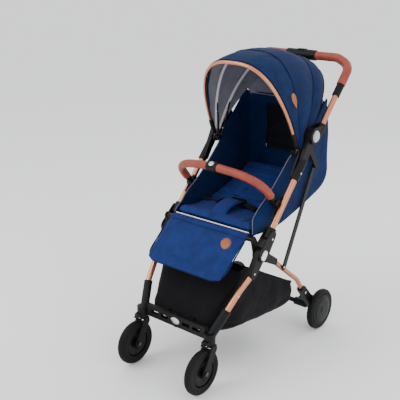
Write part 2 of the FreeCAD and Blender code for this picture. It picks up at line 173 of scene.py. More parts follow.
def sweep(name, points, radius, mat, sides=16):
    """A tube along points. radius(share, angle) or a number; closed at both ends."""
    verts, faces = [], []
    rings = frames(points)
    for i, (p, n, b) in enumerate(rings):
        share = i / (len(rings) - 1)
        for k in range(sides):
            a = 2 * math.pi * k / sides
            r = radius(share, a) if callable(radius) else radius
            verts.append(p + n * math.cos(a) * r + b * math.sin(a) * r)
    for i in range(len(rings) - 1):
        for k in range(sides):
            q = (k + 1) % sides
            faces.append((i * sides + k, i * sides + q, (i + 1) * sides + q, (i + 1) * sides + k))
    faces.append(tuple(reversed(range(sides))))
    faces.append(tuple(range((len(rings) - 1) * sides, len(rings) * sides)))
    return piece(name, verts, faces, [mat])


def lathe(name, profile, centre, mat, steps=72):
    """A closed profile of (x, r) turned about the X axis through centre."""
    verts, faces = [], []
    count = len(profile)
    for k in range(steps):
        a = 2 * math.pi * k / steps
        for x, r in profile:
            verts.append(Vector(centre) + Vector((x, r * math.cos(a), r * math.sin(a))))
    for k in range(steps):
        q = (k + 1) % steps
        for i in range(count):
            j = (i + 1) % count
            faces.append((k * count + i, k * count + j, q * count + j, q * count + i))
    return piece(name, verts, faces, [mat])


def box_piece(name, size, mat, bevel=0.001):
    """A bevelled block centred on the origin."""
    x, y, z = (s / 2 for s in size)
    verts = [(i * x, j * y, k * z) for i in (-1, 1) for j in (-1, 1) for k in (-1, 1)]
    faces = [(0, 1, 3, 2), (4, 6, 7, 5), (0, 4, 5, 1), (2, 3, 7, 6), (0, 2, 6, 4), (1, 5, 7, 3)]
    obj = piece(name, verts, faces, [mat])
    m = obj.modifiers.new("bevel", "BEVEL")
    m.width, m.segments = bevel, 3
    return obj


def subdivide(obj, levels=1):
    m = obj.modifiers.new("subdivision", "SUBSURF")
    m.levels = m.render_levels = levels
    return obj


def apply_all(obj):
    """Bakes the modifiers into the mesh."""
    bpy.context.view_layer.update()
    done = bpy.data.meshes.new_from_object(obj.evaluated_get(bpy.context.evaluated_depsgraph_get()))
    old, obj.data = obj.data, done
    obj.modifiers.clear()
    bpy.data.meshes.remove(old)
    return obj


# ---- materials ----------------------------------------------------------------------------
def node(tree, kind, **values):
    n = tree.nodes.new("ShaderNode" + kind)
    for key, value in values.items():
        if key in n.inputs.keys():
            n.inputs[key].default_value = value
        else:
            setattr(n, key.lower(), value)
    return n


def material(name, color, roughness, metallic=0.0, sheen=0.0, coat=0.0, specular=0.5):
    m = bpy.data.materials.new(name)
    m.use_nodes = True
    shader = m.node_tree.nodes["Principled BSDF"]
    shader.inputs["Base Color"].default_value = (*color, 1)
    shader.inputs["Roughness"].default_value = roughness
    shader.inputs["Metallic"].default_value = metallic
    shader.inputs["Sheen Weight"].default_value = sheen
    shader.inputs["Sheen Roughness"].default_value = 0.5
    shader.inputs["Coat Weight"].default_value = coat
    shader.inputs["Specular IOR Level"].default_value = specular
    m.diffuse_color = (*color, 1)
    return m, m.node_tree, shader


def shade(color, share):
    return tuple(c * share for c in color)


def tint(tree, shader, source, dark, light, low=0.35, high=0.65):
    """Colour between two values, chosen by a pattern."""
    ramp = node(tree, "ValToRGB")
    ramp.color_ramp.elements[0].position, ramp.color_ramp.elements[1].position = low, high
    ramp.color_ramp.elements[0].color, ramp.color_ramp.elements[1].color = (*dark, 1), (*light, 1)
    tree.links.new(source, ramp.inputs["Fac"])
    tree.links.new(ramp.outputs["Color"], shader.inputs["Base Color"])


def bump(tree, shader, heights):
    """Bumps stacked one on the next: (pattern, strength, distance)."""
    below = None
    for source, strength, distance in heights:
        b = node(tree, "Bump", Strength=strength, Distance=distance)
        tree.links.new(source, b.inputs["Height"])
        if below:
            tree.links.new(below.outputs["Normal"], b.inputs["Normal"])
        below = b
    tree.links.new(below.outputs["Normal"], shader.inputs["Normal"])


def noise_of(tree, coords, scale, detail=3.0, rough_share=0.5):
    n = node(tree, "TexNoise", Scale=scale, Detail=detail, Roughness=rough_share)
    tree.links.new(coords, n.inputs["Vector"])
    return n.outputs["Fac"]


def roughness_from(tree, shader, source, low, high):
    m = node(tree, "MapRange")
    m.inputs["To Min"].default_value, m.inputs["To Max"].default_value = low, high
    tree.links.new(source, m.inputs["Value"])
    tree.links.new(m.outputs["Result"], shader.inputs["Roughness"])


def weave(tree, coords, threads):
    """Crossed threads: bands along each axis, the highest one showing."""
    waves = []
    for axis in "XYZ":
        w = node(tree, "TexWave", Scale=threads, Distortion=0.4, Detail=1.0)
        w.bands_direction = axis
        tree.links.new(coords, w.inputs["Vector"])
        waves.append(w.outputs["Fac"])
    high = waves[0]
    for other in waves[1:]:
        m = node(tree, "Math")
        m.operation = "MAXIMUM"
        tree.links.new(high, m.inputs[0])
        tree.links.new(other, m.inputs[1])
        high = m.outputs["Value"]
    return high


def fabric(name, color, threads=420, lift=0.0002, sheen=0.25, spread=0.22, roughness=0.85):
    m, tree, shader = material(name, color, roughness, sheen=sheen, specular=0.12)
    coords = node(tree, "TexCoord").outputs["Object"]
    threads_out = weave(tree, coords, threads)
    blotch = noise_of(tree, coords, 26.0, 5.0, 0.62)
    fine = noise_of(tree, coords, 900.0, 2.0)
    tint(tree, shader, blotch, shade(color, 1 - spread), shade(color, 1 + spread), 0.3, 0.7)
    bump(tree, shader, [(blotch, 0.35, 0.0016), (threads_out, 0.6, lift), (fine, 0.4, lift)])
    roughness_from(tree, shader, fine, roughness - 0.1, min(1.0, roughness + 0.08))
    return m


def plastic(name, color, roughness=0.48, grain=0.00008):
    m, tree, shader = material(name, color, roughness, specular=0.18)
    coords = node(tree, "TexCoord").outputs["Object"]
    fine = noise_of(tree, coords, 1400.0, 2.0)
    wear = noise_of(tree, coords, 32.0, 6.0, 0.7)
    tint(tree, shader, wear, shade(color, 0.85), shade(color, 1.3), 0.4, 0.75)
    bump(tree, shader, [(fine, 0.5, grain)])
    roughness_from(tree, shader, wear, roughness - 0.1, roughness + 0.12)
    return m


def metal(name, color, roughness=0.28):
    m, tree, shader = material(name, color, roughness, metallic=1.0)
    coords = node(tree, "TexCoord").outputs["Object"]
    scuff = noise_of(tree, coords, 55.0, 8.0, 0.72)
    fine = noise_of(tree, coords, 1800.0, 2.0)
    tint(tree, shader, scuff, shade(color, 0.93), shade(color, 1.05), 0.4, 0.7)
    roughness_from(tree, shader, scuff, roughness - 0.07, roughness + 0.1)
    bump(tree, shader, [(fine, 0.25, 0.00003)])
    return m


def leather(name, color):
    m, tree, shader = material(name, color, 0.5, specular=0.4)
    coords = node(tree, "TexCoord").outputs["Object"]
    cells = node(tree, "TexVoronoi", Scale=620.0)
    cells.feature = "DISTANCE_TO_EDGE"
    tree.links.new(coords, cells.inputs["Vector"])
    wear = noise_of(tree, coords, 38.0, 5.0, 0.65)
    tint(tree, shader, wear, shade(color, 0.78), shade(color, 1.2), 0.32, 0.7)
    bump(tree, shader, [(wear, 0.3, 0.0006), (cells.outputs["Distance"], 0.7, 0.00025)])
    roughness_from(tree, shader, wear, 0.42, 0.6)
    return m


def mesh_cloth(name, color):
    m, tree, shader = material(name, color, 0.9, specular=0.2)
    coords = node(tree, "TexCoord").outputs["Object"]
    cells = node(tree, "TexVoronoi", Scale=520.0, Randomness=0.1)
    tree.links.new(coords, cells.inputs["Vector"])
    tint(tree, shader, cells.outputs["Distance"], shade(color, 0.3), shade(color, 1.6))
    bump(tree, shader, [(cells.outputs["Distance"], 0.9, 0.0004)])
    return m


NAVY = fabric("navy_woven", (0.0030, 0.0138, 0.060), sheen=0.02)
NAVY_PAD = fabric("navy_pad", (0.0090, 0.0225, 0.110), threads=520, sheen=0.02)
NAVY_TRIM = fabric("navy_trim", (0.0024, 0.0080, 0.034), threads=700, sheen=0.02)
LINING = fabric("grey_lining", (0.20, 0.20, 0.245), threads=600, spread=0.12, sheen=0.05)
BINDING = fabric("light_binding", (0.60, 0.60, 0.63), threads=900, spread=0.06)
GREY_EDGE = fabric("grey_edge", (0.11, 0.115, 0.15), threads=900, spread=0.1)
PIPING = fabric("white_piping", (0.72, 0.73, 0.76), threads=900, spread=0.06)
BASKET = fabric("black_woven", (0.0032, 0.0032, 0.0040), threads=480, lift=0.0003, sheen=0.03)
WEBBING = fabric("black_webbing", (0.005, 0.005, 0.006), threads=950, lift=0.0004, sheen=0.03)
WINDOW = mesh_cloth("black_mesh", (0.004, 0.0045, 0.008))
COPPER = metal("rose_gold", (0.58, 0.235, 0.125), 0.3)
SILVER = metal("satin_silver", (0.62, 0.63, 0.65), 0.32)
DARK_METAL = metal("dark_metal", (0.10, 0.10, 0.105), 0.35)
BLACK = plastic("black_plastic", (0.0035, 0.0035, 0.004))
BLACK_TUBE = plastic("black_paint", (0.0035, 0.0035, 0.004), 0.36, 0.00003)
WHITE = plastic("white_plastic", (0.78, 0.78, 0.80), 0.4, 0.00003)
RUBBER = plastic("wheel_rubber", (0.0035, 0.0035, 0.004), 0.62, 0.0002)
HUB = plastic("hub_plastic", (0.004, 0.004, 0.0045), 0.42)
LEATHER = leather("brown_leather", (0.26, 0.042, 0.020))
PATCH = leather("tan_leather", (0.28, 0.085, 0.018))
THREAD = fabric("brown_thread", (0.16, 0.05, 0.03), threads=1500)
SLOT_MATERIAL = {
    "copper_tube": COPPER, "black_plastic": BLACK, "silver_cap": SILVER, "white_cap": WHITE,
    "black_tube": BLACK_TUBE, "navy_fabric": NAVY, "black_fabric": BASKET, "strap_webbing": WEBBING,
    "brown_leather": LEATHER, "tyre": RUBBER, "hub_plastic": HUB, "trolley_metal": DARK_METAL,
}


def soft(obj):
    """Gives a piece of the seat's cloth its own copy of its mesh."""
    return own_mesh(obj)


def slot_of(name):
    for part in frame["record"]["subparts"]:
        if part["node"] == name:
            return part["material_slot"]


for name, obj in NODES.items():
    obj.data.materials.clear()
    obj.data.materials.append(SLOT_MATERIAL[slot_of(name)])


# ---- canopy ---------------------------------------------------------------------------------
def on_arch(degrees, reach, t, out=0.0, back=0.0):
    """A point of an arch that stands on the canopy's pivots, t from -1 (right) to 1 (left)."""
    turn = math.pi / 2 * (1 - abs(t))
    x = math.copysign((BOW_HALF + out) * max(0.0, math.cos(turn)) ** 0.72, t) if abs(t) > 1e-9 else 0.0
    r = 0.017 + (reach + out - 0.017) * max(0.0, math.sin(turn)) ** 0.8
    c, s = math.cos(math.radians(degrees)), math.sin(math.radians(degrees))
    return Vector((x, CANOPY_PIVOT[0] + r * c + back * s, CANOPY_PIVOT[1] + r * s - back * c))


def across(u):
    """Share of an arch, closer together near its feet and its top, where it bends."""
    w = 2 * u - 1
    return math.copysign(abs(w) ** 1.25, w)


def panel_point(first, last, backs, puff, seed, t, v):
    """Cloth between two bows, drawn tight, with a little fullness between them."""
    a = on_arch(*first, t, 0.0045, backs[0])
    b = on_arch(*last, t, 0.0045, backs[1])
    flat = a.lerp(b, v)
    swung = on_arch(lerp(first[0], last[0], v), lerp(first[1], last[1], v), t, 0.0045)
    tight = 4 * v * (1 - v)
    p = flat.lerp(swung, 0.5 * tight)
    away = (p - Vector((0, *CANOPY_PIVOT))).normalized()
    creases = noise.noise(Vector((t * 9 + seed, v * 1.3, seed))) * 0.0022
    creases += noise.noise(Vector((t * 22 + seed, v * 2.5, seed * 2))) * 0.0009
    side = smooth((abs(t) - 0.35) / 0.5)
    creases += noise.noise(Vector((t * 40, v * 2 + seed, 3.0))) * 0.0012 * side
    return p + away * (puff * tight + creases * min(1.0, tight * 2))


PANEL_ACROSS, PANEL_ALONG, PANEL_THICK = 120, 26, 0.0022


def canopy_panel(name, *shape):
    return cloth(name, lambda u, v: panel_point(*shape, across(u), v), PANEL_ACROSS, PANEL_ALONG,
                 PANEL_THICK, NAVY, LINING)


def arch_path(degrees, reach, out, back, steps, end):
    """Points along an arch, from -end to end."""
    return [on_arch(degrees, reach, lerp(-end, end, i / steps), out, back) for i in range(steps + 1)]


FRONT_SHAPE = (HOOP, MID_BOW, (0.0066, 0.0), 0.002, 1.7)
FACING_ROWS = 8                    # rows of the front panel, behind the hoop, that are navy inside too
front_cloth = canopy_panel("canopy_front_cloth", *FRONT_SHAPE)
for f in front_cloth.data.polygons[:2 * PANEL_ACROSS * FACING_ROWS]:
    f.material_index = 0
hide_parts("canopy_front_panel")
mid_cloth = canopy_panel("canopy_mid_cloth", MID_BOW, REAR_BOW, (0.0, 0.0), 0.006, 5.2)
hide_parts("canopy_mid_panel")
rear_cloth = canopy_panel("canopy_rear_cloth", REAR_BOW, BACK_EDGE, (0.0, 0.0), 0.007, 9.4)
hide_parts("canopy_rear_panel")
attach(rear_cloth, "seat_frame")


def back_wall(u, v):
    """The canopy's rear end, from its last arch down to the top of the seat's back."""
    w = 2 * u - 1
    top = on_arch(*BACK_EDGE, 0.644 * w, 0.0045)
    c, s = math.cos(math.radians(44)), math.sin(math.radians(44))
    low = Vector((0.160 * w, 0.3095, 0.853))
    p = top.lerp(low, v)
    middle = math.sin(math.pi * v)
    return p + Vector((0, s, -c)) * (0.009 * middle * (1 - w * w) + rough((w * 2, v, 3), 4.0, 0.003) * middle)


rear_wall = cloth("canopy_back_wall", back_wall, 60, 24, PANEL_THICK, NAVY, LINING)
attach(rear_wall, "seat_frame")


def casing(name, bow, body, width=0.006):
    """The light strip inside the canopy that holds a bow."""
    def at(u, v):
        w = 2 * v - 1
        return on_arch(*bow, 0.985 * across(u), lerp(-0.0048, 0.0012, w * w), width * w)
    strip = cloth(name, at, 110, 8, 0.0012, BINDING)
    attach(strip, body)
    return strip


casing("canopy_mid_casing", MID_BOW, "canopy_mid")
casing("canopy_rear_casing", REAR_BOW, "seat_frame")

seams = (("canopy_front_hem", HOOP, 0.0042, 0.0088, "canopy_front", 0.0024),
         ("canopy_mid_seam", MID_BOW, 0.0058, 0.0, "canopy_mid", 0.0020),
         ("canopy_rear_seam", REAR_BOW, 0.0058, 0.0, "seat_frame", 0.0020),
         ("canopy_back_seam", BACK_EDGE, 0.0058, 0.0, "seat_frame", 0.0022))
for name, bow, out, back, body, r in seams:
    line = sweep(name, arch_path(*bow, out, back, 96, 0.985), r, NAVY_TRIM, 10)
    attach(line, body)


def stitches(name, points, normals, length, thickness, mat, body, gap=0.0045):
    """A row of stitches: short rounded threads lying along a line."""
    verts, faces = [], []
    runs = [0.0]
    for a, b in zip(points, points[1:]):
        runs.append(runs[-1] + (b - a).length)
    place_at, k = gap / 2, 0
    while place_at < runs[-1] - gap / 2:
        while runs[k + 1] < place_at:
            k += 1
        f = (place_at - runs[k]) / max(1e-9, runs[k + 1] - runs[k])
        centre = points[k].lerp(points[k + 1], f)
        t = (points[k + 1] - points[k]).normalized()
        n = normals[k].lerp(normals[k + 1], f).normalized()
        side = t.cross(n).normalized()
        base = len(verts)
        for j, (along, grow) in enumerate(((-0.5, 0.35), (-0.3, 1), (0.3, 1), (0.5, 0.35))):
            for m in range(6):
                a = math.pi * m / 3
                verts.append(centre + t * along * length
                             + (side * math.cos(a) + n * math.sin(a)) * thickness * grow)
        for j in range(3):
            for m in range(6):
                q = (m + 1) % 6
                ring = base + j * 6
                faces.append((ring + m, ring + q, ring + 6 + q, ring + 6 + m))
        faces.append(tuple(base + m for m in reversed(range(6))))
        faces.append(tuple(base + 18 + m for m in range(6)))
        place_at += gap
    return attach(piece(name, verts, faces, [mat]), body)


def bow_stitches(name, bow, out, back, body):
    line = arch_path(*bow, out, back, 160, 0.93)
    lifted = arch_path(*bow, out + 0.002, back, 160, 0.93)
    return stitches(name, line, [(b - a).normalized() for a, b in zip(line, lifted)],
                    0.0030, 0.00042, NAVY_TRIM, body)


bow_stitches("mid_seam_stitches", MID_BOW, 0.0062, -0.006, "canopy_mid")
bow_stitches("rear_seam_stitches", REAR_BOW, 0.0062, -0.006, "seat_frame")

# leather leaf patch near the front panel's lower edge, on the child's left
LEAF_T, LEAF_V, LEAF_LONG, LEAF_HALF = 0.707, 0.80, 0.050, 0.013


def front_point(t, v):
    return panel_point(*FRONT_SHAPE, t, v)


LEAF_PER_T = (front_point(LEAF_T + 0.01, LEAF_V) - front_point(LEAF_T - 0.01, LEAF_V)).length / 0.02
LEAF_PER_V = (front_point(LEAF_T, LEAF_V + 0.02) - front_point(LEAF_T, LEAF_V - 0.02)).length / 0.04


def leaf_at(u, v):
    """Widest in its upper half, blunt at the top, a point at the bottom."""
    wide = LEAF_HALF * math.sin(math.pi * (0.10 + 0.90 * v) ** 0.85) + 0.0004
    t = LEAF_T + (v - 0.5) * LEAF_LONG / LEAF_PER_T
    s = LEAF_V + (2 * u - 1) * wide / LEAF_PER_V
    along = front_point(t + 0.01, s) - front_point(t - 0.01, s)
    n = along.cross(front_point(t, s + 0.02) - front_point(t, s - 0.02)).normalized()
    n = n if n.x > 0 else -n
    return front_point(t, s) + n * 0.0022


leaf = cloth("canopy_leaf_patch", leaf_at, 16, 24, 0.0012, PATCH)

# black bosses over the hoop's eyes
BOSS = [(0.173, 0.0071), (0.173, 0.0135), (0.1813, 0.0135), (0.1825, 0.0122), (0.1825, 0.0071)]
for side, tag in SIDES:
    shape = BOSS if side > 0 else [(-x, r) for x, r in reversed(BOSS)]
    boss = lathe("canopy_boss_" + tag, shape, (0, *CANOPY_PIVOT), BLACK, 48)
    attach(boss, "canopy_front")

for side, name in ((1, "canopy_clip_sleeve_l"), (-1, "canopy_clip_sleeve_r")):
    path = [on_arch(*HOOP, side * t) for t in (0.998, 0.985, 0.97, 0.955, 0.94, 0.925, 0.915)]
    sleeve = sweep(name, path, lambda s, a: 0.0084 - 0.0012 * smooth((s - 0.75) / 0.25), BLACK, 24)
    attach(sleeve, "canopy_front")

# ---- seat tub ---------------------------------------------------------------------------------
UNDER = rounded([(-0.112, 0.472), (-0.03, 0.470), (0.050, 0.470), (0.206, 0.512), (0.318, 0.545),
                 (0.348, 0.592), (0.336, 0.664), (0.338, 0.774), (0.311, 0.860)], 2)
RIM = rounded([(-0.114, 0.486), (-0.100, 0.520), (-0.062, 0.560), (-0.012, 0.588), (0.050, 0.640),
               (0.112, 0.700), (0.165, 0.742), (0.232, 0.800), (0.297, 0.874)], 2)
TUB_HALF = 0.1755


def tub_frame(u, v):
    s = abs(2 * u - 1)
    p, r = along_chain(UNDER, v), along_chain(RIM, v)
    run = math.dist(p, r)
    corner = min(0.026, run * 0.7)
    front = smooth(1 - v / 0.12)
    wide = TUB_HALF - 0.006 * front
    if s < 0.42:
        x, up = (wide - corner) * s / 0.42, 0.0
    elif s < 0.56:
        a = (s - 0.42) / 0.14 * math.pi / 2
        x, up = wide - corner + corner * math.sin(a), corner * (1 - math.cos(a))
    else:
        k = (s - 0.56) / 0.44
        up = lerp(corner, run, k)
        wing = smooth((k - 0.55) / 0.45) * smooth(v / 0.1) * smooth((0.72 - v) / 0.2)
        x = wide - 0.021 * wing
    k = up / run
    return Vector((math.copysign(x, 2 * u - 1), lerp(p[0], r[0], k), lerp(p[1], r[1], k))), s


def tub_at(u, v):
    p, s = tub_frame(u, v)
    edge = min(1.0, min(v, 1 - v) * 12) * min(1.0, (1 - s) * 8 + 0.02)
    fold = rough(p, 14.0, 0.0055) + rough(p + Vector((7, 0, 0)), 38.0, 0.0016)
    out = Vector((math.copysign(smooth((s - 0.45) / 0.15), 2 * u - 1), 0.0, 0.0))
    rear = smooth((v - 0.5) / 0.1) * (1 - smooth((s - 0.42) / 0.12))
    out += Vector((0, rear, -(1 - rear) * (1 - smooth((s - 0.42) / 0.12))))
    below = (1 - smooth((v - 0.42) / 0.1)) * (1 - (s / 0.5) ** 2 if s < 0.5 else 0.0)
    tight = 0.35 if v < 0.5 else 0.8
    return p + out * fold * edge * tight - Vector((0, 0, 0.003)) * below


WINDOW_HALF, WINDOW_LOW, WINDOW_HIGH, WINDOW_CORNER = 0.100, 0.648, 0.822, 0.022
tub = cloth("seat_tub", tub_at, 110, 120, 0.0030, NAVY)
tub.data.materials.append(WINDOW)
for f in tub.data.polygons:
    c = f.center
    if abs(c.x) < WINDOW_HALF and WINDOW_LOW < c.z < WINDOW_HIGH and c.y > 0.30:
        f.material_index = 1
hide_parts("seat_shell")


def on_tub(x, v, lift):
    """A point on the tub's rear wall, lift metres inside it."""
    s = 0.42 * abs(x) / (TUB_HALF - 0.026)
    p = tub_at(0.5 + math.copysign(s, x) / 2 if x else 0.5, v)
    return p + Vector((0, -lift, 0))


def v_of(z):
    """The share of the tub's length at which its rear wall has that height."""
    low, high = 0.55, 1.0
    for _ in range(24):
        mid = (low + high) / 2
        low, high = (mid, high) if along_chain(UNDER, mid)[1] < z else (low, mid)
    return (low + high) / 2


def window_ring(lift):
    x_half, z0, z1, corner = WINDOW_HALF, WINDOW_LOW, WINDOW_HIGH, WINDOW_CORNER
    out = []
    corners = ((x_half, z0, -90), (x_half, z1, 0), (-x_half, z1, 90), (-x_half, z0, 180))
    for cx, cz, a0 in corners:
        mx = cx - math.copysign(corner, cx)
        mz = cz + (corner if cz == z0 else -corner)
        for i in range(9):
            a = math.radians(a0 + 90 * i / 8)
            out.append((mx + corner * math.cos(a), mz + corner * math.sin(a)))
    dense = []
    for a, b in zip(out, out[1:] + out[:1]):
        n = max(1, int(math.dist(a, b) / 0.006))
        dense += [(lerp(a[0], b[0], i / n), lerp(a[1], b[1], i / n)) for i in range(n)]
    dense.append(dense[0])
    return [on_tub(x, v_of(z), lift) for x, z in dense]


for name, lift in (("window_binding_inside", 0.0026), ("window_binding_outside", -0.0026)):
    ring = sweep(name, window_ring(lift), lambda s, a: 0.0034 if abs(math.sin(a)) > 0.7 else 0.0026,
                 NAVY_TRIM, 12)
    soft(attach(ring, "seat_frame"))
zip_line = [on_tub(lerp(-0.096, 0.096, i / 60), v_of(0.662), 0.0034) for i in range(61)]
zipper = sweep("window_zip", zip_line, 0.0016, BLACK, 10)
soft(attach(zipper, "seat_frame"))
zip_teeth = stitches("window_zip_teeth", zip_line, [Vector((0, -1, 0))] * len(zip_line), 0.0012, 0.0024,
                     BLACK, "seat_frame", 0.0024)
soft(zip_teeth)
puller = box_piece("window_zip_pull", (0.0042, 0.0026, 0.017), SILVER, 0.0010)
puller.data.transform(Matrix.Translation(on_tub(-0.095, v_of(0.655), 0.0065)))
soft(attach(apply_all(puller), "seat_frame"))
soft(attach(tub, "seat_frame"))

for side, tag in SIDES:
    edge = [tub_at(0.5 + 0.5 * side, 0.62 * i / 90) + Vector((0, 0, 0.0005)) for i in range(91)]
    line = sweep("wing_piping_" + tag, edge, 0.0014, GREY_EDGE, 12)
    soft(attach(line, "seat_frame"))
across_front = [lerp(-0.158, 0.158, i / 60) for i in range(61)]
line = sweep("seat_front_piping", [Vector((x, -0.1180, 0.4912)) for x in across_front], 0.0020, PIPING,
             12)
soft(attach(line, "seat_frame"))
front_roll = sweep("seat_front_roll", [Vector((x, -0.1135, 0.4842)) for x in across_front],
                   lambda s, a: 0.0070 + 0.0004 * math.sin(s * 40 + a), NAVY_PAD, 20)
soft(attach(front_roll, "seat_frame"))


# ---- stuffed pads --------------------------------------------------------------------------------
def pad(name, width, length, thick, mat, corner=0.03, crown=0.004, pinch=0.006, first=None):
    """A closed cushion lying flat: x across, y along from 0, z up, its sides drawn in between corners.

    first is the radius of the two corners at y 0, when they differ from the others.
    """
    nu, nv = 40, max(14, int(length / 0.009))
    verts, faces = [], []

    def edge(u, v):
        x, y = (2 * u - 1) * width / 2, v * length
        ax, ay = width / 2 - abs(x), min(y, length - y)
        c = first if first and y < length / 2 else corner
        if ax < c and ay < c:
            k = min(1.0, c / max(c, math.hypot(c - ax, c - ay)))
            x = math.copysign(width / 2 - c + (c - ax) * k, x)
            y = (c - (c - ay) * k) if y < length / 2 else length - c + (c - ay) * k
        x *= 1 - pinch / width * math.sin(math.pi * v) * 2 * (abs(2 * u - 1) ** 3)
        return x, y

    for face in (1, -1):
        for j in range(nv + 1):
            for i in range(nu + 1):
                u, v = i / nu, j / nv
                x, y = edge(u, v)
                near = min(width / 2 - abs((2 * u - 1) * width / 2), min(v, 1 - v) * length)
                full = min(1.0, near / 0.014)
                z = thick / 2 * math.sqrt(max(0.0, 1 - (1 - full) ** 2))
                z += crown * math.sin(math.pi * u) * math.sin(math.pi * v) if face > 0 else 0.0
                verts.append((x, y, face * z))
    count = (nu + 1) * (nv + 1)
    for j in range(nv):
        for i in range(nu):
            a = j * (nu + 1) + i
            q = (a, a + 1, a + nu + 2, a + nu + 1)
            faces.append(q)
            faces.append(tuple(count + k for k in reversed(q)))
    obj = piece(name, verts, faces, [mat])
    bm = bmesh.new()
    bm.from_mesh(obj.data)
    bmesh.ops.remove_doubles(bm, verts=bm.verts, dist=0.0002)
    bmesh.ops.recalc_face_normals(bm, faces=bm.faces)
    bm.to_mesh(obj.data)
    bm.free()
    return obj


def plan_of(obj):
    xs, ys = [v.co.x for v in obj.data.vertices], [v.co.y for v in obj.data.vertices]
    return min(xs), max(xs), min(ys), max(ys)


def refitted(obj, plan):
    """Stretches a pad in its own plane until it fills its plan again."""
    x0, x1, y0, y1 = plan
    a0, a1, b0, b1 = plan_of(obj)
    for v in obj.data.vertices:
        v.co.x = lerp(x0, x1, (v.co.x - a0) / (a1 - a0))
        v.co.y = lerp(y0, y1, (v.co.y - b0) / (b1 - b0))
    obj.data.update()
    return obj


def plumped(obj, cap=0.006, voxel=0.0055, pressure=4.0):
    """Cloth simulation under inner pressure, each point held within cap of where it started."""
    plan = plan_of(obj)
    m = obj.modifiers.new("remesh", "REMESH")
    m.mode, m.voxel_size = "VOXEL", voxel
    apply_all(obj)
    start = [v.co.copy() for v in obj.data.vertices]
    m = obj.modifiers.new("cloth", "CLOTH")
    m.settings.quality = 4
    m.settings.mass = 0.25
    m.settings.tension_stiffness = m.settings.compression_stiffness = 12
    m.settings.bending_stiffness = 0.4
    m.settings.use_pressure = True
    m.settings.uniform_pressure_force = pressure
    m.settings.effector_weights.gravity = 0.0
    m.point_cache.frame_start, m.point_cache.frame_end = 1, 20
    scene = bpy.context.scene
    for frame_number in range(1, 21):
        scene.frame_set(frame_number)
    moved = obj.evaluated_get(bpy.context.evaluated_depsgraph_get()).to_mesh()
    for v, s, w in zip(obj.data.vertices, start, moved.vertices):
        step = w.co - s
        v.co = s + step * min(1.0, cap / max(step.length, 1e-9))
    obj.modifiers.clear()
    scene.frame_set(1)
    obj.data.update()
    apply_all(subdivide(obj))
    obj.data.polygons.foreach_set("use_smooth", [True] * len(obj.data.polygons))
    return refitted(obj, plan)


def shaped(obj, move):
    for v in obj.data.vertices:
        v.co = move(v.co.copy())
    obj.data.update()
    return obj


def groove(d, width, depth):
    """How deep a sewn channel is, d metres from its line."""
    return depth * math.exp(-(d / width) ** 2)


# seat cushion, with a rounded front roll over the front tube
cushion = plumped(pad("seat_cushion_pad", 0.318, 0.158, 0.024, NAVY_PAD, 0.020, 0.003, 0.006), 0.006)


def cushion_shape(p):
    y = p.y
    p.z += 0.491 + 0.009 * smooth((0.06 - y) / 0.06) - 0.0035 * smooth((y - 0.12) / 0.05)
    p.z -= groove(abs(p.x) - 0.120, 0.0035, 0.0035) if p.z > 0.492 else 0.0
    p.y = y - 0.112
    return p


shaped(cushion, cushion_shape)
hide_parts("seat_cushion")
soft(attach(cushion, "seat_frame"))

# reclined back pad with cross channels
back = plumped(pad("backrest_cushion", 0.312, 0.272, 0.021, NAVY_PAD, 0.028, 0.003, 0.008), 0.006)
LEAN = math.radians(20)


def quilted(p):
    top = 1.0 if p.z > 0.001 else 0.0
    for k in range(1, 6):
        p.z -= top * groove(p.y - 0.045 * k, 0.0045, 0.0048) * smooth((0.150 - abs(p.x)) / 0.012)
    p.z += top * 0.0018
    y, z = p.y - 0.002, p.z + 0.003
    return Vector((p.x, BACK_PIVOT[0] + y * math.cos(LEAN) - z * math.sin(LEAN),
                   BACK_PIVOT[1] + y * math.sin(LEAN) + z * math.cos(LEAN)))


shaped(back, quilted)
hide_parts("backrest_pad")
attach(back, "backrest")


def on_back(s, lift):
    return Vector((0, BACK_PIVOT[0] + s * math.cos(LEAN) - lift * math.sin(LEAN),
                   BACK_PIVOT[1] + s * math.sin(LEAN) + lift * math.cos(LEAN)))


def strap(name, line, half, mat=WEBBING, thick=0.0017, body="seat_frame"):
    """A flat strap along centre points and side vectors."""
    def at(u, v):
        k = v * (len(line) - 1)
        i = min(len(line) - 2, int(k))
        c, w = line[i][0].lerp(line[i + 1][0], k - i), line[i][1].lerp(line[i + 1][1], k - i)
        return c + w * (2 * u - 1) * half
    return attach(cloth(name, at, 8, 60, thick, mat), body)


for side, tag in SIDES:
    line = []
    for i in range(25):
        s = lerp(0.030, 0.243, i / 24)
        lift = 0.0165 + 0.0022 * math.sin(i * 1.1)
        x = side * lerp(0.052, 0.060, i / 24)
        line.append((Vector((x, 0, 0)) + on_back(s, lift), Vector((1, 0, 0))))
    obj = strap("shoulder_strap_" + tag, line, 0.0125, body="backrest")
    slide_bar = [on_back(0.150, 0.0195) + Vector((side * x, 0, 0)) for x in (0.040, 0.057, 0.074)]
    adjuster = sweep("shoulder_adjuster_" + tag, slide_bar, 0.0032, BLACK, 16)
    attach(adjuster, "backrest")
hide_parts("shoulder_straps")
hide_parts("shoulder_straps")

# shoulder pads, blue like the seat
for side, tag in SIDES:
    spad = pad("shoulder_pad_" + tag, 0.040, 0.085, 0.008, NAVY_PAD, 0.010, 0.001, 0.002)
    apply_all(subdivide(spad))
    shaped(spad, lambda p, side=side: Vector((p.x + side * 0.0565, 0, 0))
           + on_back(p.y + 0.052, p.z + 0.0215))
    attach(spad, "backrest")

# crotch pad: a blue padded tongue over the crotch strap
ARCH = rounded([(-0.092, 0.502), (-0.082, 0.516), (-0.058, 0.530), (-0.022, 0.5405), (0.016, 0.537)], 3)
crotch = pad("crotch_pad", 0.072, 0.116, 0.009, NAVY_PAD, 0.016, 0.002, 0.006)
apply_all(subdivide(crotch))


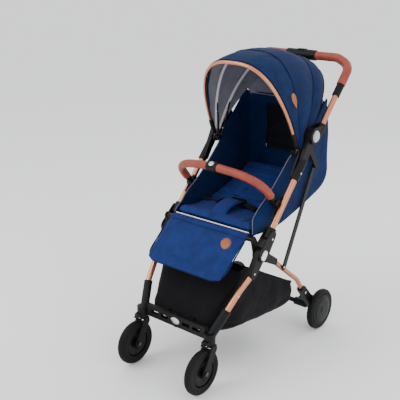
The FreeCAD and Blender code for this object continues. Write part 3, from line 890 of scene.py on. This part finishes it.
def over_arch(p):
    t = min(0.999, max(0.001, p.y / 0.116))
    a, b = along_chain(ARCH, max(0.0, t - 0.02)), along_chain(ARCH, min(1.0, t + 0.02))
    d = Vector((0, b[0] - a[0], b[1] - a[1])).normalized()
    n = Vector((0, -d.z, d.y))
    c = along_chain(ARCH, t)
    lift = p.z - (groove(abs(p.x) - 0.029, 0.0022, 0.0016) if p.z > 0 else 0.0)
    return Vector((p.x, c[0], c[1])) + n * lift + Vector((0, 0, -0.004 * (p.x / 0.036) ** 2))


shaped(crotch, over_arch)
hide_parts("harness_straps")
soft(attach(crotch, "seat_frame"))
for side, tag in SIDES:
    line = []
    for i in range(25):
        t = i / 24
        x = side * lerp(0.026, 0.156, t)
        z = 0.5225 - 0.0125 * smooth(t * 1.6) + 0.0022 * math.sin(t * 9)
        line.append((Vector((x, lerp(0.031, 0.020, t), z)), Vector((0, 0.98, 0.15 * math.sin(t * 5)))))
    obj = strap("waist_strap_" + tag, line, 0.0135)
    soft(obj)
    bar_line = [Vector((side * 0.078, y, 0.5155)) for y in (0.008, 0.026, 0.044)]
    bar = sweep("waist_adjuster_" + tag, bar_line, 0.0034, BLACK, 16)
    soft(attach(bar, "seat_frame"))
CROTCH_STRAP = ((0.010, 0.531), (0.020, 0.528), (0.030, 0.524))
crotch_line = [(Vector((0, y, z)), Vector((1, 0, 0))) for y, z in CROTCH_STRAP]
tongue = strap("crotch_strap", crotch_line, 0.0125)
soft(tongue)

# ---- footrest ----------------------------------------------------------------------------------------
REST_TILT, REST_MIDDLE = math.radians(40.9), 0.006


def on_rest(x, d, lift):
    """d metres down the footrest from its hinge, lift metres above its middle plane."""
    c, s = math.cos(REST_TILT), math.sin(REST_TILT)
    up = lift + REST_MIDDLE
    return Vector((x, FOOT_PIVOT[0] - d * c - up * s, FOOT_PIVOT[1] - d * s + up * c))


flat_rest = pad("footrest_pad", 0.332, 0.177, 0.0115, NAVY_PAD, 0.048, 0.002, 0.005, first=0.012)
rest_pad = plumped(flat_rest, 0.0035)


def rest_shape(p):
    roll = smooth((0.030 - p.y) / 0.028)
    lift = p.z * (1 + 0.35 * roll) - 0.003 * roll
    if p.z > 0.001:
        lift -= groove(abs(p.x) - 0.138, 0.0028, 0.0016) + groove(p.y - 0.146, 0.0028, 0.0016)
    return on_rest(p.x, p.y + 0.005, lift)


shaped(rest_pad, rest_shape)
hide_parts("footrest")
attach(rest_pad, "footrest")

roll = []
for i in range(61):
    x = lerp(-0.163, 0.163, i / 60)
    roll.append(Vector((x, FOOT_PIVOT[0] + rough((x, 0, 0), 30, 0.0006), FOOT_PIVOT[1])))
roll_mesh = sweep("footrest_roll", roll, lambda s, a: 0.0122 + 0.0007 * math.sin(a * 2 + s * 9)
                  - 0.003 * smooth(abs(2 * s - 1) * 25 - 24), NAVY_PAD, 28)
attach(roll_mesh, "footrest")

outline = []
for k in range(25):
    outline.append((0.166, lerp(0.018, 0.128, k / 24)))
for k in range(1, 13):
    a = math.pi / 2 * k / 12
    outline.append((0.118 + 0.048 * math.cos(a), 0.1315 + 0.048 * math.sin(a)))
outline += [(-x, d) for x, d in reversed(outline)]
fine = []
for a, b in zip(outline, outline[1:]):
    n = max(1, int(math.dist(a, b) / 0.006))
    fine += [(lerp(a[0], b[0], i / n), lerp(a[1], b[1], i / n)) for i in range(n)]
fine.append(outline[-1])
piping = sweep("footrest_piping", [on_rest(x, d, 0.0) for x, d in fine], 0.0024, NAVY_TRIM, 12)
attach(piping, "footrest")

# round leather patch on the footrest
disc_verts, disc_faces = [], []
PATCH_AT, PATCH_D, PAD_FACE = 0.107, 0.050, 0.0082
PATCH_RINGS = ((0.010, 0.0021), (0.019, 0.0019), (0.0215, 0.0012), (0.0235, 0.0018), (0.026, 0.0004))
for k in range(48):
    a = 2 * math.pi * k / 48
    for r, h in PATCH_RINGS:
        disc_verts.append(on_rest(PATCH_AT + r * math.cos(a), PATCH_D + r * math.sin(a), PAD_FACE + h))
disc_verts.append(on_rest(PATCH_AT, PATCH_D, PAD_FACE + 0.0020))
for k in range(48):
    q = (k + 1) % 48
    disc_faces.append((240, q * 5, k * 5))
    for i in range(4):
        disc_faces.append((k * 5 + i, q * 5 + i, q * 5 + i + 1, k * 5 + i + 1))
round_patch = piece("footrest_patch", disc_verts, disc_faces, [PATCH])
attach(round_patch, "footrest")

# ---- basket ------------------------------------------------------------------------------------------
BASKET_FLOOR = rounded([(-0.160, 0.366), (-0.225, 0.284), (-0.288, 0.204), (-0.278, 0.178), (-0.236, 0.164),
                        (-0.144, 0.157), (0.060, 0.131), (0.142, 0.131), (0.158, 0.146), (0.157, 0.196),
                        (0.148, 0.222)], 2)
BASKET_RIM = rounded([(-0.158, 0.368), (-0.138, 0.370), (-0.118, 0.370), (-0.053, 0.334), (0.060, 0.262),
                      (0.146, 0.226)], 2)


def basket_half(y):
    return lerp(0.128, 0.158, smooth((y + 0.270) / 0.110))


def basket_at(u, v):
    w = 2 * u - 1
    s = abs(w)
    p, r = along_chain(BASKET_FLOOR, v), along_chain(BASKET_RIM, v ** 1.15)
    run = max(1e-4, math.dist(p, r))
    corner = min(0.036, run * 0.75)
    half = basket_half(p[0])
    if s < 0.46:
        x, up = (half - corner) * s / 0.46, 0.0
    elif s < 0.62:
        a = (s - 0.46) / 0.16 * math.pi / 2
        x, up = half - corner + corner * math.sin(a), corner * (1 - math.cos(a))
    else:
        up = lerp(corner, run, (s - 0.62) / 0.38)
        x = half
    k = min(1.0, up / run)
    y, z = lerp(p[0], r[0], k), lerp(p[1], r[1], k)
    wide = basket_half(y)
    x = x * wide / half if s >= 0.62 else x
    pt = Vector((math.copysign(x, w), y, z))
    hang = smooth(v / 0.2) * smooth((1 - v) / 0.12)
    if s < 0.46:
        pt.z -= 0.010 * hang * (1 - (s / 0.46) ** 2)
    else:
        belly = math.sin(math.pi * min(1.0, k)) * hang
        pt.x += math.copysign(-0.006 * belly, w)
    crease = rough(pt, 12.0, 0.006) + rough(pt + Vector((0, 5, 0)), 34.0, 0.002)
    edge = min(1.0, v * 10) * min(1.0, (1 - v) * 10) * min(1.0, (1.02 - s) * 7)
    if s < 0.46:
        pt.z += crease * edge * 0.8
        pt.y += crease * edge * 0.6 * smooth(1 - v / 0.3)
    else:
        pt.x += math.copysign(crease * edge, w)
    return pt


basket = cloth("basket_cloth", basket_at, 110, 110, 0.0026, BASKET)
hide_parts("basket")
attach(basket, "front_legs")
for side, tag in SIDES:
    edge = [basket_at(0.5 + 0.5 * side, i / 90) for i in range(91)]
    hem = sweep("basket_hem_" + tag, edge, 0.0030, WEBBING, 10)
    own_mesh(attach(hem, "front_legs"))
rear_hem = sweep("basket_rear_hem", [basket_at(i / 80, 1.0) for i in range(81)], 0.0032, WEBBING, 10)
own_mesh(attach(rear_hem, "front_legs"))
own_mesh(basket)


# ---- grips, rivets and small parts --------------------------------------------------------------------
def rivet(name, centre, outward, r, mat, body, height=0.0016):
    """A domed rivet head with a thin flange."""
    profile = ((0.0, 1.15), (0.25, 1.12), (0.35, 0.92), (0.7, 0.80), (0.92, 0.48))
    verts, faces = [], []
    n = Vector(outward).normalized()
    s = n.orthogonal().normalized()
    t = n.cross(s)
    for k in range(28):
        a = 2 * math.pi * k / 28
        for h, share in profile:
            verts.append(Vector(centre) + n * height * (h - 0.05)
                         + (s * math.cos(a) + t * math.sin(a)) * r * share)
    verts.append(Vector(centre) + n * height * 0.95)
    top = len(verts) - 1
    for k in range(28):
        q = (k + 1) % 28
        for i in range(4):
            faces.append((k * 5 + i, q * 5 + i, q * 5 + i + 1, k * 5 + i + 1))
        faces.append((top, k * 5 + 4, q * 5 + 4))
    faces.append(tuple(k * 5 for k in reversed(range(28))))
    obj = piece(name, verts, faces, [mat])
    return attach(obj, body)


def on_main(s, x=0.2015):
    return Vector((x, MAIN_FOOT[0] + MAIN_DIR[0] * s, MAIN_FOOT[1] + MAIN_DIR[1] * s))


for side, tag in SIDES:
    rivets = (
        ("rivet_main_low", on_main(0.036, side * 0.212), 0.0032, "seat_frame"),
        ("rivet_main_top", on_main(0.228, side * 0.2163), 0.0032, "seat_frame"),
        ("rivet_housing", Vector((side * 0.2180, -0.066, 0.468)), 0.0036, "seat_frame"),
        ("rivet_knuckle", Vector((side * 0.2115, -0.152, 0.371)), 0.0036, "front_legs"),
        ("rivet_leg", Vector((side * 0.1945, -0.212, 0.309)), 0.0032, "front_legs"),
        ("rivet_bracket", Vector((side * 0.187, 0.207, 0.166)), 0.0042, "rear_legs"),
        ("rivet_strut_top", Vector((side * 0.1905, 0.2165, 0.651)), 0.0042, "struts"),
        ("rivet_strut_foot", Vector((side * 0.1905, 0.052, 0.321)), 0.0038, "struts"),
    )
    for name, centre, r, body in rivets:
        rivet(name + "_" + tag, centre, (side, 0, 0), r, SILVER, body)
    out, inward = (side, 0, 0), (-side, 0, 0)
    rivet("rivet_canopy_" + tag, (side * 0.1815, 0.110, 0.745), out, 0.0034, SILVER, "canopy_front")
    rivet("rivet_bumper_" + tag, (side * 0.1885, -0.008, 0.572), out, 0.0045, DARK_METAL, "bumper")
    rivet("fork_head_rivet_" + tag, (side * 0.150, -0.3218, 0.1595), (0, -1, 0), 0.0026, SILVER,
          "caster_" + tag)
    rivet("front_hub_cap_" + tag, (side * 0.174, *FRONT_AXLE), out, 0.0058, DARK_METAL, "caster_" + tag)
    rivet("front_hub_cap_in_" + tag, (side * 0.126, *FRONT_AXLE), inward, 0.0058, DARK_METAL, "caster_" + tag)
    rivet("rear_hub_cap_" + tag, (side * 0.2194, *REAR_AXLE), out, 0.0125, HUB, "rear_wheel_" + tag, 0.0022)
rivet("bumper_ring_button", (0, -0.118, 0.6965), (0, -0.55, 0.83), 0.0088, SILVER, "bumper", 0.0018)
badge = rivet("cross_plate_badge", (0, -0.305, 0.193), (0, -1, 0), 0.0130, SILVER, "front_legs", 0.0016)
badge.data.transform(Matrix.Translation((0, 0, 0.193)) @ Matrix.Diagonal((1.3, 1, 0.77, 1))
                     @ Matrix.Translation((0, 0, -0.193)))


def mirrored(shape, about=0.0):
    """A lathe profile seen in a mirror across the X position given."""
    return [(2 * about - x, r) for x, r in reversed(shape)]


def tyre(name, x0, x1, centre, hole, body, node_name):
    """A soft round tyre with two fine grooves round its tread."""
    half = (x1 - x0) / 2
    shoulder, tread = [(-half, hole)], []
    for a in range(0, 91, 10):
        c, s = math.cos(math.radians(a)), math.sin(math.radians(a))
        shoulder.append((-half + 0.0085 * (1 - c), WHEEL_R - 0.0095 + 0.0085 * s))
    for x, d in ((0.0046, 0.0), (0.0038, 0.0012), (0.0030, 0.0)):
        tread.append((-x * half / 0.012, WHEEL_R - 0.0004 - d * 0.9))
    left = shoulder + tread
    profile = [((x0 + x1) / 2 + x, q) for x, q in left + mirrored(left)]
    obj = lathe(name, profile, (0, *centre), RUBBER, 96)
    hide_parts(node_name)
    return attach(obj, body)


def wheel_cover(name, shape, centre, body):
    """A smooth cover filling the dish in one face of a wheel."""
    obj = lathe(name, shape, (0, *centre), HUB)
    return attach(obj, body)


FRONT_COVER = [(0.1545, 0.0158), (0.1545, 0.0495), (0.1582, 0.0495), (0.1592, 0.0400), (0.1596, 0.0158)]
REAR_COVER = [(0.2140, 0.0066), (0.2140, 0.0525), (0.2172, 0.0520), (0.2186, 0.0380), (0.2194, 0.0200),
              (0.2196, 0.0066)]
for side, tag in SIDES:
    a, b = sorted((side * 0.138, side * 0.162))
    tyre("front_tyre_round_" + tag, a, b, FRONT_AXLE, 0.056, "front_wheel_" + tag, "front_tyre_" + tag)
    a, b = sorted((side * 0.192, side * 0.216))
    tyre("rear_tyre_round_" + tag, a, b, REAR_AXLE, 0.058, "rear_wheel_" + tag, "rear_tyre_" + tag)
    near, far = (FRONT_COVER, mirrored(FRONT_COVER, 0.150))
    outer = REAR_COVER
    if side < 0:
        near, far, outer = mirrored(near), mirrored(far), mirrored(outer)
    wheel_cover("front_cover_out_" + tag, near, FRONT_AXLE, "front_wheel_" + tag)
    wheel_cover("front_cover_in_" + tag, far, FRONT_AXLE, "front_wheel_" + tag)
    wheel_cover("rear_cover_" + tag, outer, REAR_AXLE, "rear_wheel_" + tag)


def rounded_path(points, radius, step=0.004):
    """Straight runs joined by arcs, as the bent tubes are."""
    out = [points[0]]
    for a, b, c in zip(points, points[1:], points[2:]):
        u, v = (a - b).normalized(), (c - b).normalized()
        half = u.angle(v) / 2
        cut = radius / math.tan(half)
        centre = b + (u + v).normalized() * (radius / math.sin(half))
        p, q = b + u * cut - centre, b + v * cut - centre
        turn = p.angle(q)
        n = max(4, int(radius * turn / step))
        for i in range(n + 1):
            k = i / n
            arc = p * math.sin((1 - k) * turn) + q * math.sin(k * turn)
            out.append(centre + arc / math.sin(turn))
    out.append(points[-1])
    dense = []
    for a, b in zip(out, out[1:]):
        m = max(1, int((b - a).length / step))
        dense += [a.lerp(b, i / m) for i in range(m)]
    return dense + [out[-1]]


def facing(line, want):
    """At each point of a line, the direction square to it that is nearest to want."""
    return [(want - t * want.dot(t)).normalized() for t in (tangent(line, i) for i in range(len(line)))]


HANDLE_DIR = Vector((0, 0.67186658, 0.74067222))
HANDLE_BASE = Vector((0.205, 0.217, 0.785))
handle_line = rounded_path([HANDLE_BASE, HANDLE_BASE + HANDLE_DIR * 0.262, Vector((0.150, 0.404, 1.001)),
                            Vector((0.0, 0.404, 1.001))], 0.044)
UNDERSIDE = Vector((-0.35, -0.62, -0.70)).normalized()
for side, tag in SIDES:
    line = [Vector((side * p.x, p.y, p.z)) for p in handle_line if p.z > 0.922 and p.x > 0.064]
    rows = facing(line, Vector((side * UNDERSIDE.x, UNDERSIDE.y, UNDERSIDE.z)))
    seam = sweep("grip_seam_" + tag, [p + n * 0.0148 for p, n in zip(line, rows)], 0.0022, BLACK, 8)
    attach(seam, "handle")
    for shift, word in ((-1, "a"), (1, "b")):
        off = []
        for i, (p, n) in enumerate(zip(line, rows)):
            off.append(p + (n + tangent(line, i).cross(n) * 0.24 * shift).normalized() * 0.0156)
        stitches("grip_stitches_%s_%s" % (word, tag), off, rows, 0.0032, 0.0005, THREAD, "handle",
                 0.005)

BUMPER_DIR = (math.cos(math.atan2(0.111, -0.101)), math.sin(math.atan2(0.111, -0.101)))
half_line = [(0.014, 0.181), (0.050, 0.1815), (0.092, 0.172), (0.122, 0.143), (0.139, 0.100), (0.147, 0.050),
             (0.150, 0.0)]


def on_bumper(s, x):
    return Vector((x, -0.008 + s * BUMPER_DIR[0], 0.572 + s * BUMPER_DIR[1]))


def curve_through(points, per=14):
    """A smooth line through its points."""
    out = []
    pts = [points[0] * 2 - points[1]] + points + [points[-1] * 2 - points[-2]]
    for a, b, c, d in zip(pts, pts[1:], pts[2:], pts[3:]):
        for i in range(per):
            k = i / per
            out.append(0.5 * ((2 * b) + (c - a) * k + (2 * a - 5 * b + 4 * c - d) * k * k
                              + (3 * b - 3 * c + d - a) * k ** 3))
    return out + [points[-1]]


for side, tag in SIDES:
    line = curve_through([on_bumper(s, side * x) for s, x in half_line])
    line = [p for p in line if abs(p.x) > 0.023
            and (p - on_bumper(0, 0)).dot(Vector((0, *BUMPER_DIR))) > 0.046]
    rows = facing(line, Vector((-side * 0.1, 0.70, -0.72)))
    seam = sweep("bumper_seam_" + tag, [p + n * 0.0137 for p, n in zip(line, rows)], 0.0009, THREAD, 8)
    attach(seam, "bumper")
    lifted = [p + (n + Vector((0, 0.2, 0.2))).normalized() * 0.0141 for p, n in zip(line, rows)]
    stitches("bumper_stitches_" + tag, lifted, rows, 0.0032, 0.0005, THREAD, "bumper", 0.005)

# a light fabric tag looped under the handle's middle block
loop = []
for k in range(21):
    a = math.pi * k / 20
    drop = 0.020 * math.sin(a) ** 0.8
    loop.append((Vector((0.0, 0.404 - 0.0045 * math.cos(a), 0.983 - drop)), Vector((1, 0, 0))))
tag_loop = strap("handle_tag_loop", loop, 0.009, PIPING, 0.0009, "handle")

# ---- moulded edges on the hard parts ------------------------------------------------------------------
HARD_EDGES = {
    0.0006: ("handle_caps",),
    0.0008: ("canopy_clips", "lower_caps", "struts"),
    0.001: ("front_leg_joints", "rear_leg_joints", "bumper_sockets", "bumper_ends", "front_hub_l",
            "front_hub_r", "rear_hub_l", "rear_hub_r"),
    0.0012: ("lower_housings", "upper_housings", "front_feet", "rear_brackets", "handle_collars",
             "caster_fork_l", "caster_fork_r"),
    0.0014: ("handle_joints", "cross_plate", "bumper_ring", "brake_pedal"),
    0.0016: ("trolley_grip",),
}
for width, names in HARD_EDGES.items():
    for name in names:
        m = NODES[name].modifiers.new("moulded_edge", "BEVEL")
        m.width, m.segments, m.limit_method, m.angle_limit = width, 2, "ANGLE", math.radians(40)
        m.harden_normals = True

# ---- studio ------------------------------------------------------------------------------------------
floor_mat, tree, shader = material("studio_floor", (0.90, 0.90, 0.90), 0.55, specular=0.3)
coords = node(tree, "TexCoord").outputs["Object"]
bump(tree, shader, [(noise_of(tree, coords, 60.0, 3.0), 0.04, 0.0003)])
corners = [(-30, -30, 0), (30, -30, 0), (30, 30, 0), (-30, 30, 0)]
floor = piece("studio_floor", corners, [(0, 1, 2, 3)], [floor_mat])
world = bpy.data.worlds.new("studio")
bpy.context.scene.world = world
world.use_nodes = True
world.node_tree.nodes["Background"].inputs["Color"].default_value = (0.93, 0.94, 0.96, 1)
world.node_tree.nodes["Background"].inputs["Strength"].default_value = 1.5


def aim(obj, location, target):
    obj.location = location
    obj.rotation_euler = (Vector(target) - Vector(location)).to_track_quat("-Z", "Y").to_euler()
    return obj


def area_light(name, location, target, size, power):
    light = bpy.data.lights.new(name, "AREA")
    light.shape, light.size, light.energy = "SQUARE", size, power
    obj = bpy.data.objects.new(name, light)
    bpy.context.scene.collection.objects.link(obj)
    return aim(obj, location, target)


area_light("key", (-1.2, -2.2, 2.6), (0, 0, 0.55), 1.6, 40)
area_light("fill", (2.8, -0.8, 1.6), (0, 0, 0.5), 2.0, 20)
area_light("back", (0.6, 2.4, 2.2), (0, 0, 0.6), 1.6, 20)

camera_data = bpy.data.cameras.new("photo_view")
camera_data.lens, camera_data.sensor_width = 65.9, 36
camera = bpy.data.objects.new("photo_view", camera_data)
bpy.context.scene.collection.objects.link(camera)
aim(camera, (1.475, -1.913, 1.353), (-0.0174, -0.155, 0.5752))
bpy.context.scene.camera = camera

# the front and middle canopy cloths and the leaf patch have their placement baked into their meshes
for obj in (front_cloth, leaf):
    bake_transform(obj)
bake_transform(mid_cloth)

bpy.context.view_layer.update()
